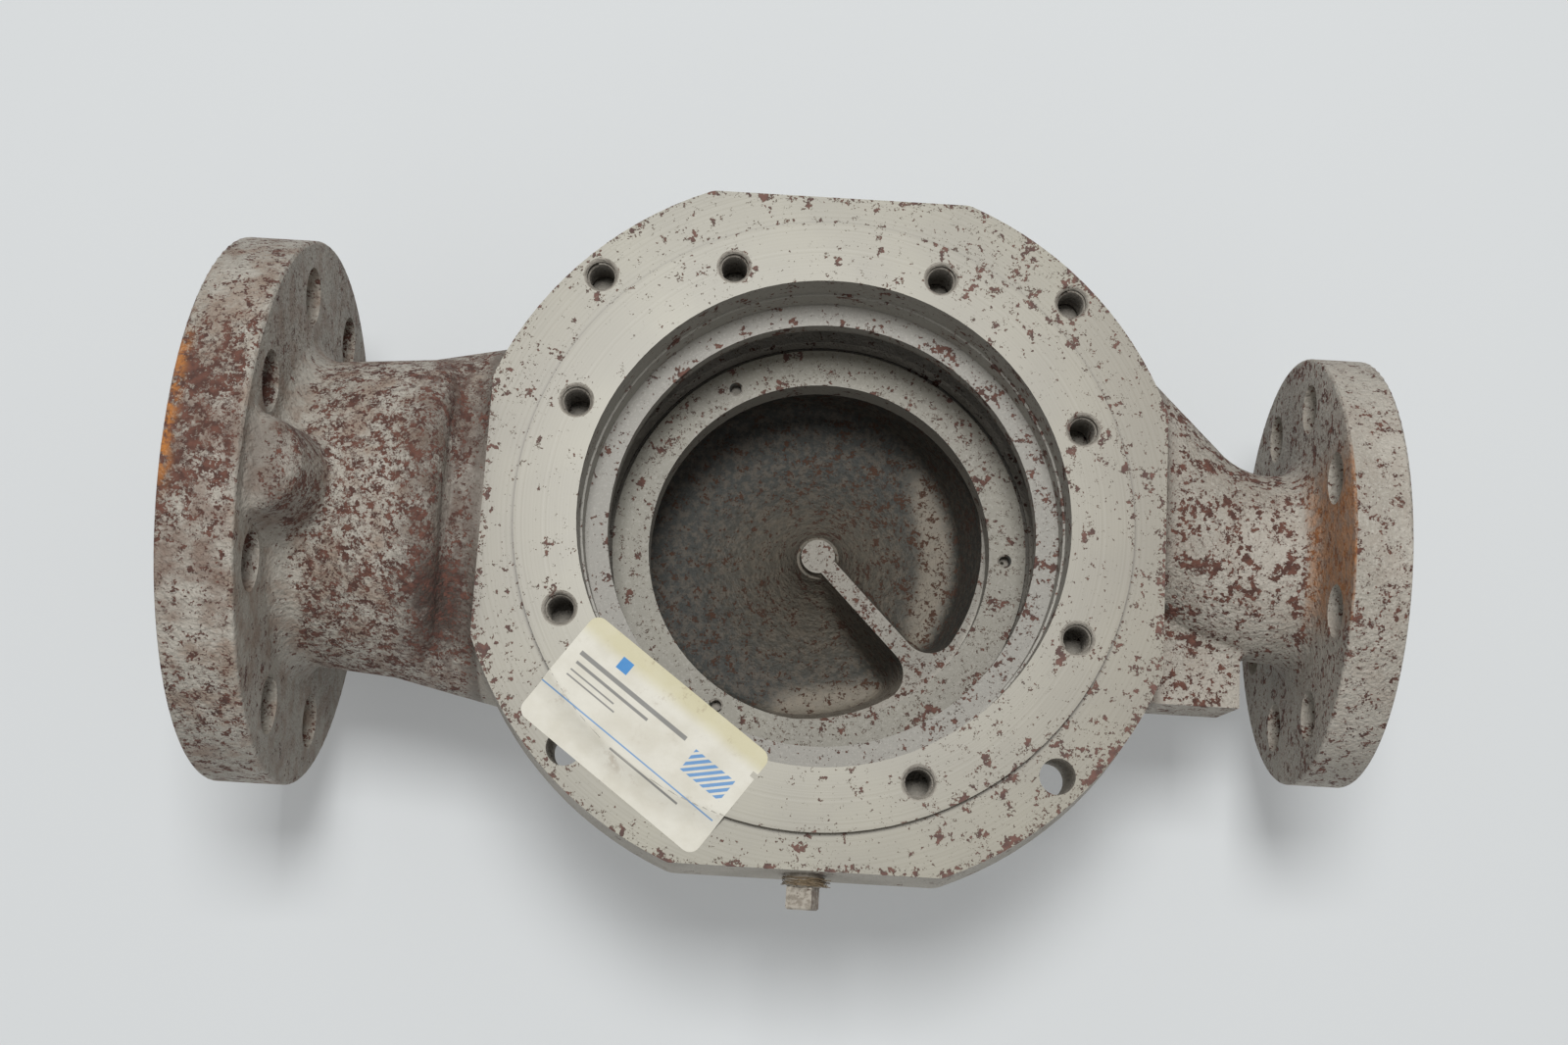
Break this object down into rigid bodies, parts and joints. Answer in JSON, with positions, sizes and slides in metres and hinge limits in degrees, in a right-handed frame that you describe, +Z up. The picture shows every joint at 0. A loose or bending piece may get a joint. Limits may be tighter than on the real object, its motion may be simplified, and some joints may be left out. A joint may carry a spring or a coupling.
{
  "type": "volute pump casing",
  "caption": "Cast iron volute pump casing with in-line side suction and discharge flanges, a bored cover joint with a tapped gasket face, a suction splitter rib and a round foot.",
  "frame": {"origin": "centre of the spigot bore at the raised gasket face of the cover joint", "axes": "+Z up along the shaft axis, out of the cover joint; +X out of the discharge flange, -X out of the suction flange"},
  "size_m": [0.433, 0.2729, 0.21],
  "materials": {
    "primed_cast_iron": "thin pale primer over a sand cast skin, machined faces grey, brown rust specks",
    "plug_iron": "dull, matt"
  },
  "bodies": {
    "root": {"pump_casing": "primed_cast_iron", "drain_plug": "plug_iron"}
  },
  "joints": []
}
